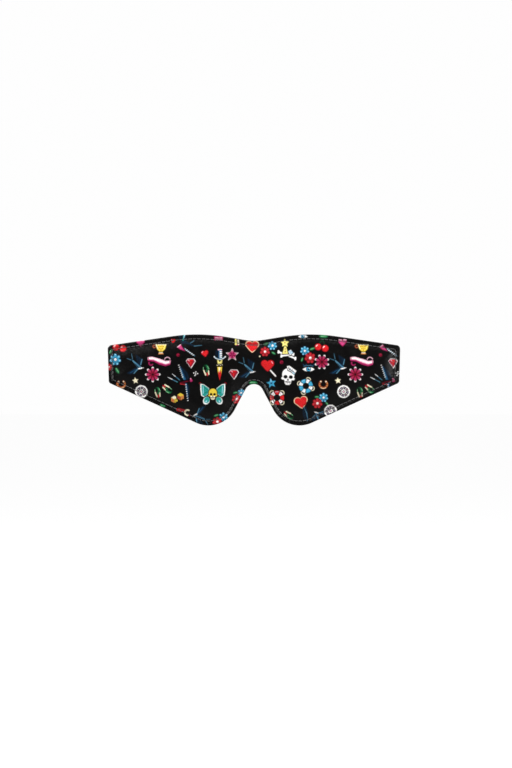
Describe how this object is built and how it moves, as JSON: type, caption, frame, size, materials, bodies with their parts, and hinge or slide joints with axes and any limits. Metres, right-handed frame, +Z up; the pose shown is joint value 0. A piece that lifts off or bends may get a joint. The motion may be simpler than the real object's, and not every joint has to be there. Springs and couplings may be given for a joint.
{
  "type": "eye mask",
  "caption": "Flat padded eye mask with a nose notch, a printed leather front, stitched edge and two adjustable elastic head straps.",
  "frame": {"origin": "on the lining's face-side surface, at the middle of the bridge over the nose", "axes": "+Y towards the wearer's head, out of the lining; +X along the mask's width; +Z up"},
  "size_m": [0.2178, 0.1019, 0.0678],
  "materials": {
    "printed_leather": "black bonded leather with a small multi-colour print, satin",
    "lining": "plain black bonded leather, matt",
    "foam": "thin dark foam",
    "elastic": "ribbed black elastic",
    "thread": "black waxed thread",
    "hardware": "polished nickel plate"
  },
  "bodies": {
    "mask": {"front_leather": "printed_leather", "back_lining": "lining", "foam_pad": "foam", "front_seam_thread": "thread", "back_seam_thread": "thread", "upper_left_tail": "elastic", "upper_left_tack": "thread", "upper_right_tail": "elastic", "upper_right_tack": "thread", "lower_left_tail": "elastic", "lower_left_tack": "thread", "lower_right_tail": "elastic", "lower_right_tack": "thread"},
    "upper_strap": {"upper_band": "elastic", "upper_tab": "elastic", "upper_tab_stitch": "thread", "upper_hem_stitch": "thread", "upper_ring": "hardware"},
    "upper_adjuster": {"upper_slider": "hardware"},
    "lower_strap": {"lower_band": "elastic", "lower_tab": "elastic", "lower_tab_stitch": "thread", "lower_hem_stitch": "thread", "lower_ring": "hardware"},
    "lower_adjuster": {"lower_slider": "hardware"}
  },
  "joints": [
    {"name": "upper_tilt", "type": "hinge", "parent": "mask", "child": "upper_strap", "pos_m": [0, 0.0053, 0.0043], "axis": [1, 0, 0], "range_deg": [0, 38], "stiffness_Nm_per_rad": 0.08},
    {"name": "upper_slider_slide", "type": "slide", "parent": "upper_strap", "child": "upper_adjuster", "axis": [0, 1, 0], "range_m": [-0.008, 0.008]},
    {"name": "lower_tilt", "type": "hinge", "parent": "mask", "child": "lower_strap", "pos_m": [0, 0.0053, -0.0091], "axis": [-1, 0, 0], "range_deg": [0, 32], "stiffness_Nm_per_rad": 0.08},
    {"name": "lower_slider_slide", "type": "slide", "parent": "lower_strap", "child": "lower_adjuster", "axis": [0, 1, 0], "range_m": [-0.008, 0.008]}
  ]
}
